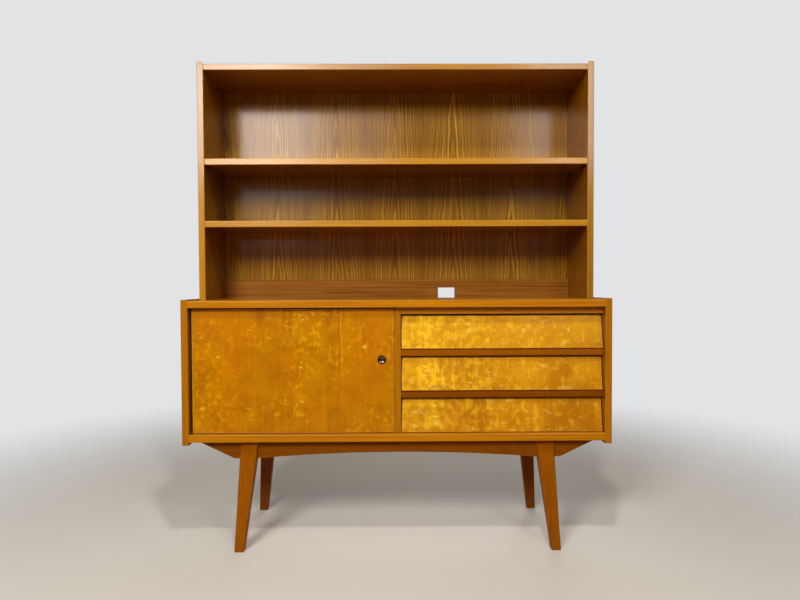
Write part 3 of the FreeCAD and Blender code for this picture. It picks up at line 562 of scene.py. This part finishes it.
def back_material():
    """Striped crown-cut veneer of the upper case's back; its rear is raw plywood."""
    material, graph, shader = new_material("striped_back")
    x, y, z = graph.split(graph.place())
    flat = graph.join(x, 0.0, z)
    leaf = graph.use(arches, Vector=flat, Leaf=0.2, Offset=-0.005, Step=0.15, Steep=13.0, Bow=60.0)
    fibre = graph.use(fibres, Vector=flat, Width=0.0035, Length=0.16)
    stripe = graph.math("ADD", graph.product(leaf["Tone"], 0.7), graph.product(fibre["Tone"], 0.4))
    base = graph.mix(stripe, back_lines, graph.mix(leaf["Leaf Tone"], *back_leaves))
    base = graph.paint(base, back_joints, leaf["Joint"], 0.3)
    base = graph.paint(base, back_pores, fibre["Pores"], 0.4)
    behind = graph.math("GREATER_THAN", y, back_panel_y + 0.001)
    base = graph.paint(base, graph.mix(fibre["Tone"], *raw_back), behind)
    lacquer(graph, shader, base, fibre["Tone"], 0.15)
    return material


def plain_wood(name, axis, tones, width=0.003, length=0.12):
    """Unlacquered wood inside the case: fibres, broad streaks and little gloss."""
    material, graph, shader = new_material(name)
    grain = along_z(graph, graph.place(), axis)
    fibre = graph.use(fibres, Vector=grain, Width=width, Length=length)
    broad = graph.noise(graph.times(grain, (20.0, 20.0, 2.0)), detail=2.0)[0]
    tone = graph.math("MULTIPLY_ADD", broad, 0.7, graph.product(fibre["Tone"], 0.4))
    base = graph.mix(graph.level(tone, 0.2, 0.9), *tones)
    base = graph.paint(base, raw_pores, fibre["Pores"], 0.3)
    lacquer(graph, shader, base, fibre["Tone"], roughness=0.6, gloss=0.25, bump=0.35)
    return material


def metal(name, tint, dull, roughness, dish=None):
    """Metal with fine turned marks and dull spots of wear. A dish is the middle (x, z) of a face that is
    hollow like a bowl."""
    bowl_steepness = 27.0
    material, graph, shader = new_material(name)
    place = graph.place()
    marks = graph.use(fibres, Vector=along_z(graph, place, "y"), Width=0.0004, Length=0.01)
    spots = graph.noise(graph.times(place, (160.0, 160.0, 160.0)), detail=3.0)[0]
    worn = graph.rise(spots, 0.5, 0.7)
    rough = graph.math("MULTIPLY_ADD", marks["Tone"], 0.1, roughness)
    bumped = graph.node("ShaderNodeBump")
    graph.by_name(bumped, Strength=0.15, Distance=0.0001, Height=marks["Tone"])
    if dish is not None:
        x, y, z = graph.split(place)
        from_x = graph.math("SUBTRACT", x, dish[0])
        from_z = graph.math("SUBTRACT", z, dish[1])
        away = graph.math("ADD", graph.squared(from_x), graph.squared(from_z))
        bowl = graph.node("ShaderNodeBump")
        graph.by_name(bowl, Distance=1.0, Height=graph.product(away, bowl_steepness))
        graph.by_name(bumped, Normal=bowl.outputs[0])
    graph.by_name(shader, Base_Color=graph.mix(worn, tint, dull), Metallic=1.0,
                  Roughness=graph.math("MULTIPLY_ADD", worn, 0.15, rough), Normal=bumped.outputs[0])
    return material


# Layout of the figure: left edge and tone of each strip, middle and reach of each place where blisters gather
door_seam = -0.1634
door_strips = (
    (-0.65, 0.55), (-0.4118, 0.38), (-0.3066, 0.62), (-0.21, 0.4), (door_seam, 0.56), (-0.09, 0.46))
drawer_strips = ((0.0, 1.0), (0.118, 0.8), (0.18, 0.62), (0.3, 0.72), (0.43, 0.5), (0.485, 0.42))
door_patches = ((-0.54, 0.6, 0.075), (-0.28, 0.53, 0.05), (-0.1, 0.62, 0.06), (-0.49, 0.43, 0.05),
                (-0.09, 0.38, 0.05))
# the edges' share is that of wear and a painted highlight on the eased edges
door_shares = {"clouds": 0.3, "fibres": 0.15, "patches": 0.55, "crests": 0.4, "hollows": 0.3, "flecks": 0.7,
               "fleck shades": 0.15, "speckle": 0.12, "edges": 0.4}
drawer_shares = {"clouds": 0.4, "fibres": 0.14, "patches": 0.68, "crests": 0.6, "hollows": 0.85,
                 "flecks": 0.5, "fleck shades": 0.7, "speckle": 0.2, "edges": 0.75}
drawer_fronts = ("upper_drawer_front", "middle_drawer_front", "lower_drawer_front")
lower_sides = ("left_side_panel", "right_side_panel")
shelf_front_y = max(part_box(name)[0][1] for name in ("fixed_shelf", "adjustable_shelf", "upper_top_panel"))
lowest_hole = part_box("adjustable_shelf")[0][2] - pin_radius
pin_rows_y = (upper_front_y + pin_front_set_back, back_panel_y - pin_back_set_in)
pin_holes = [(row_y, lowest_hole + pin_pitch * step) for row_y in pin_rows_y for step in (1, 2)]
upper_sides = {"inside": (upper_inner_x, brown), "holes": pin_holes, "width": 0.007, "length": 0.3}
upper_boards = {"width": 0.005, "length": 0.3, "dent_share": 0.3, "gloss": 0.8}

finishes = {
    "sides": board_material("sides", "z", amber, (side_lip, front_y + side_lip_depth), width=0.007,
                            length=0.3, inside=(inner_x, brown), edges=(planes_of(lower_sides, 0), ())),
    # both upper sides' lippings get painted shade towards the top, the left one more
    "upper_left": board_material("upper_left", "z", amber, (upper_lip, upper_front_y + side_lip_depth),
                                 edges=(planes_of(("upper_left_side",), 0), ()), gloss=0.8,
                                 shade_by_height=(1.0, 1.35, 0.5), **upper_sides),
    # the right upper side's lipping is a darker copy of the upper lipping, as painted shade
    "upper_right": board_material("upper_right", "z", amber,
                                  (upper_right_lip_painted_shade, upper_front_y + side_lip_depth),
                                  edges=(planes_of(("upper_right_side",), 0), ()), gloss=1.0,
                                  shade_by_height=(1.0, 1.35, 0.12), **upper_sides),
    "level_boards": board_material("level_boards", "x", amber, (level_lip, front_y + level_lip_depth),
                                   length=0.3, dent_share=0.4,
                                   edges=((), planes_of(("top_panel", "bottom_panel"), 2))),
    "divider": board_material("divider", "z", brown, (side_lip, face_y + side_lip_depth),
                              edges=(planes_of(("divider_panel",), 0), ())),
    "shelves": board_material("shelves", "x", brown, (upper_lip, shelf_front_y + level_lip_depth),
                              edges=((), planes_of(("fixed_shelf", "adjustable_shelf"), 2)), **upper_boards),
    # the upper top's front lipping is a darker copy of the upper lipping, as painted shade
    "upper_top": board_material("upper_top", "x", brown, (upper_top_lip_painted_shade, shelf_front_y + level_lip_depth),
                                edges=((), planes_of(("upper_top_panel",), 2)), **upper_boards),
    # the top drawer rail's lighter wood is painted light
    "top_rail": board_material("top_rail", "x", top_rail_painted_light, width=0.004,
                               edges=((), planes_of(("top_drawer_rail",), 2))),
    # the middle and lower drawer rails get a painted shadow along their top edges
    "rails": board_material("rails", "x", middle_rail_wood, width=0.004, contrast=1.2,
                            shadowed_tops=(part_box("middle_drawer_rail")[1][2],)),
    # the lowest drawer rail's darker wood is painted shade
    "low_rail": board_material("low_rail", "x", low_rail_painted_shade, width=0.004,
                               shadowed_tops=(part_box("lower_drawer_rail")[1][2],)),
    "batten": board_material("batten", "x", batten_wood, width=0.0045, length=0.35, contrast=1.5),
    "legs": board_material("legs", "z", leg_wood, width=0.005, gloss=0.2),
    # the rear legs' darker wood is painted shade
    "rear_legs": board_material("rear_legs", "z", rear_leg_painted_shade, width=0.005, gloss=0.25),
    "base_rails": board_material("base_rails", "x", base_rail_wood, width=0.005, gloss=0.2),
    "door": figured_material("door", door_veneer, colour(250, 200, 56), colour(196, 112, 0), door_shares,
                             door_strips, seams=(door_seam,), cover=0.5, size=0.017, spacing=6.0,
                             fleck=(0.03, 0.3, 0.17), roughness=0.2, patches=door_patches, pale_side=-0.602,
                             plain_behind=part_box("door_panel")[0][1] + 0.0012,
                             edges=(planes_of(("door_panel",), 0), planes_of(("door_panel",), 2))),
    # painted shade: the drawers' tone falls towards the bottom, darker on the lower fronts
    "drawers": figured_material("drawers", drawer_veneer, colour(255, 226, 110), colour(218, 146, 4),
                                drawer_shares, drawer_strips, cover=(0.02, 0.6, 0.6, 0.47), size=0.02,
                                spacing=7.0, fleck=(0.034, 0.34, 0.24), roughness=0.18, seed=3.3,
                                everywhere=0.6, by_height=(0.36, 0.68, -0.3, 0.0),
                                edges=(planes_of(drawer_fronts, 0), planes_of(drawer_fronts, 2))),
    "back": back_material(),
    "plywood": plain_wood("plywood", "x", plywood, width=0.004, length=0.3),
    "box_wood": plain_wood("box_wood", "x", box_wood),
    "tongue_wood": plain_wood("tongue_wood", "z", tongue_wood),
    "nickel": metal("nickel", colour(124, 116, 104), colour(64, 56, 46), 0.07, dish=lock_centre),
    "brass": metal("brass", colour(214, 176, 102), colour(150, 112, 52), 0.28),
    "pin_metal": metal("pin_metal", colour(92, 72, 40), colour(52, 38, 20), 0.4),
    "steel": metal("steel", colour(186, 186, 182), colour(128, 126, 120), 0.35),
}

finish_of = {
    "sides": lower_sides,
    "upper_left": ("upper_left_side",),
    "upper_right": ("upper_right_side",),
    "level_boards": ("top_panel", "bottom_panel", "cupboard_shelf"),
    "divider": ("divider_panel",),
    "shelves": ("fixed_shelf", "adjustable_shelf"),
    "upper_top": ("upper_top_panel",),
    "top_rail": ("top_drawer_rail",),
    "rails": ("middle_drawer_rail", "door_stop_rail"),
    "low_rail": ("lower_drawer_rail",),
    "batten": ("back_batten",),
    "legs": ("front_left_leg", "front_right_leg"),
    "rear_legs": ("rear_left_leg", "rear_right_leg"),
    "base_rails": ("front_base_rail", "rear_base_rail", "left_cross_rail", "right_cross_rail"),
    "door": ("door_panel",),
    "drawers": drawer_fronts,
    "back": ("upper_back_panel",),
    "plywood": ("lower_back_panel", "upper_drawer_bottom", "middle_drawer_bottom", "lower_drawer_bottom"),
    "box_wood": tuple(f"{level}_drawer_{part}" for level in ("upper", "middle", "lower")
                      for part in ("left_side", "right_side", "back")) + ("drawer_runners",),
    "tongue_wood": ("case_tongues", "upper_case_dowels"),
    "nickel": ("lock_cylinder", "lock_plug"),
    "pin_metal": ("shelf_pins",),
    "brass": ("lower_pivot_plate", "upper_pivot_plate", "door_lower_pivot_plate", "door_upper_pivot_plate",
              "case_plate_screws", "door_plate_screws", "strike_plate", "lock_bolt"),
    "steel": ("back_panel_staples", "frame_screws", "lock_case", "lock_screws"),
}
for finish, names in finish_of.items():
    for name in names:
        slots = nodes[name].data.materials
        slots.clear()
        slots.append(finishes[finish])
left_over = set(nodes) - {name for names in finish_of.values() for name in names}
assert not left_over, left_over


# Stage
background_colour = colour(226, 227, 229)
floor_colour = colour(222, 219, 214)
floor_bounce = colour(190, 146, 96)         # what the floor sends up onto the cabinet
mirrored_floor = colour(104, 76, 48)        # what the lacquer mirrors of the far floor
fill_colour = (1.0, 0.9, 0.74, 1.0)
fill_strength = 0.15
mirrored_background_share = 0.02
fade_start, fade_end = 0.9, 2.6             # from the cabinet's middle, where the floor fades


def set_up_floor():
    """A pale floor whose far parts turn into the colour of the background."""
    reach = 14.0
    corners = [(-reach, -reach, 0.0), (reach, -reach, 0.0), (reach, reach, 0.0), (-reach, reach, 0.0)]
    mesh = bpy.data.meshes.new("floor")
    mesh.from_pydata(corners, [], [(0, 1, 2, 3)])
    floor = bpy.data.objects.new("floor", mesh)
    bpy.context.scene.collection.objects.link(floor)
    material, graph, shader = new_material("floor")
    tree = material.node_tree
    ray = graph.node("ShaderNodeLightPath")
    direct = ray.outputs["Is Camera Ray"]
    graph.by_name(shader, Base_Color=graph.mix(direct, floor_bounce, floor_colour), Roughness=0.55,
                  Specular_IOR_Level=0.2)
    far = graph.by_name(graph.node("ShaderNodeVectorMath", operation="LENGTH"), Vector=graph.place())
    away = graph.rise(far["Value"], fade_start, fade_end)
    seen = graph.math("MAXIMUM", direct, ray.outputs["Is Glossy Ray"])
    glow = graph.node("ShaderNodeEmission")
    graph.by_name(glow, Color=graph.mix(direct, mirrored_floor, background_colour))
    blend = graph.node("ShaderNodeMixShader")
    graph.in_order(blend, graph.product(away, seen), shader.outputs[0], glow.outputs[0])
    tree.links.new(blend.outputs[0], tree.nodes["Material Output"].inputs["Surface"])
    mesh.materials.append(material)


def set_up_world():
    """A weak even fill for the surfaces, and the pale background for what is seen directly or mirrored."""
    world = bpy.data.worlds.new("studio")
    bpy.context.scene.world = world
    world.use_nodes = True
    tree = world.node_tree
    graph = Graph(tree)
    fill = tree.nodes["Background"]
    graph.by_name(fill, Color=fill_colour, Strength=fill_strength)
    shown = graph.node("ShaderNodeBackground")
    graph.by_name(shown, Color=background_colour)
    ray = graph.node("ShaderNodeLightPath")
    mirrored = graph.product(ray.outputs["Is Glossy Ray"], mirrored_background_share)
    seen = graph.math("MAXIMUM", ray.outputs["Is Camera Ray"], mirrored)
    seen = graph.math("MAXIMUM", seen, ray.outputs["Is Transmission Ray"])
    blend = graph.node("ShaderNodeMixShader")
    graph.in_order(blend, seen, fill.outputs[0], shown.outputs[0])
    tree.links.new(blend.outputs[0], tree.nodes["World Output"].inputs["Surface"])


def soft_light(name, place, target, width, height, brightness, tint, lights, shines):
    """A rectangle of light that faces the target; brightness is how bright it looks, with white as 1. It
    lights surfaces, is mirrored in them, or both."""
    data = bpy.data.lights.new(name, "AREA")
    data.shape = "RECTANGLE"
    data.size = width
    data.size_y = height
    data.energy = brightness * math.pi * width * height
    data.color = tint
    lamp = bpy.data.objects.new(name, data)
    bpy.context.scene.collection.objects.link(lamp)
    lamp.location = place
    lamp.rotation_euler = (Vector(target) - Vector(place)).to_track_quat("-Z", "Y").to_euler()
    lamp.visible_camera = False
    lamp.visible_diffuse = lights
    lamp.visible_glossy = shines


def set_up_lights():
    """Two large panels and a small, higher one, all before the cabinet, light the surfaces. The sheens only
    show as reflections in the lacquer, and the panel behind does both."""
    panels_y = -2.77
    warm_day = (1.0, 0.97, 0.92)
    cool_day = (0.98, 0.99, 1.0)
    amber_day = (1.0, 0.92, 0.78)
    middle = (0.0, 0.0, 0.7)
    over_middle = (0.0, 0.0, 0.9)
    for name, x, width, brightness in (("left_key", -1.07, 0.85, 35.5), ("right_key", 1.28, 0.55, 10.0)):
        soft_light(name, (x, panels_y, 2.255), over_middle, width, 0.77, brightness, warm_day, True, False)
    soft_light("ceiling", (0.1, -1.38, 2.55), middle, 0.14, 0.14, 330.0, (1.0, 0.94, 0.84), True, False)
    for name, x, z, width, height, brightness, tint in (
            ("left_sheen", -1.15, 2.15, 0.98, 1.0, 9.6, cool_day),
            ("low_sheen", -1.0, 1.34, 0.68, 0.3, 2.0, amber_day),
            ("middle_sheen", -0.35, 2.15, 0.6, 1.0, 2.5, cool_day),
            ("right_sheen", 1.28, 2.15, 0.55, 1.0, 4.4, cool_day)):
        soft_light(name, (x, panels_y, z), (x, 0.0, z), width, height, brightness, tint, False, True)
    soft_light("ceiling_sheen", (0.0, -3.4, 2.75), (0.0, -3.4, 0.0), 4.0, 2.4, 0.9, cool_day, False, True)
    soft_light("behind", (0.6, 4.5, 3.0), middle, 3.0, 2.0, 3.5, (1.0, 0.99, 0.97), True, True)


def set_up_camera():
    """The photo's viewpoint: 27 mm lens, a little above the middle, looking slightly down."""
    yaw, pitch, roll = 0.00713, 0.02483, -0.00406
    forward = Vector((math.sin(yaw) * math.cos(pitch), math.cos(yaw) * math.cos(pitch), -math.sin(pitch)))
    right = Vector((math.cos(yaw), -math.sin(yaw), 0.0))
    up = right.cross(forward)
    across = right * math.cos(roll) + up * math.sin(roll)
    upward = up * math.cos(roll) - right * math.sin(roll)
    data = bpy.data.cameras.new("camera")
    data.sensor_width = 36.0
    data.lens = 27.045
    camera = bpy.data.objects.new("camera", data)
    bpy.context.scene.collection.objects.link(camera)
    turned = Matrix((across, upward, -forward)).transposed().to_4x4()
    camera.matrix_world = Matrix.Translation((-0.00345, -1.90904, 0.7751)) @ turned
    bpy.context.scene.camera = camera


set_up_floor()
set_up_world()
set_up_lights()
set_up_camera()
bpy.context.scene.view_settings.view_transform = "Standard"
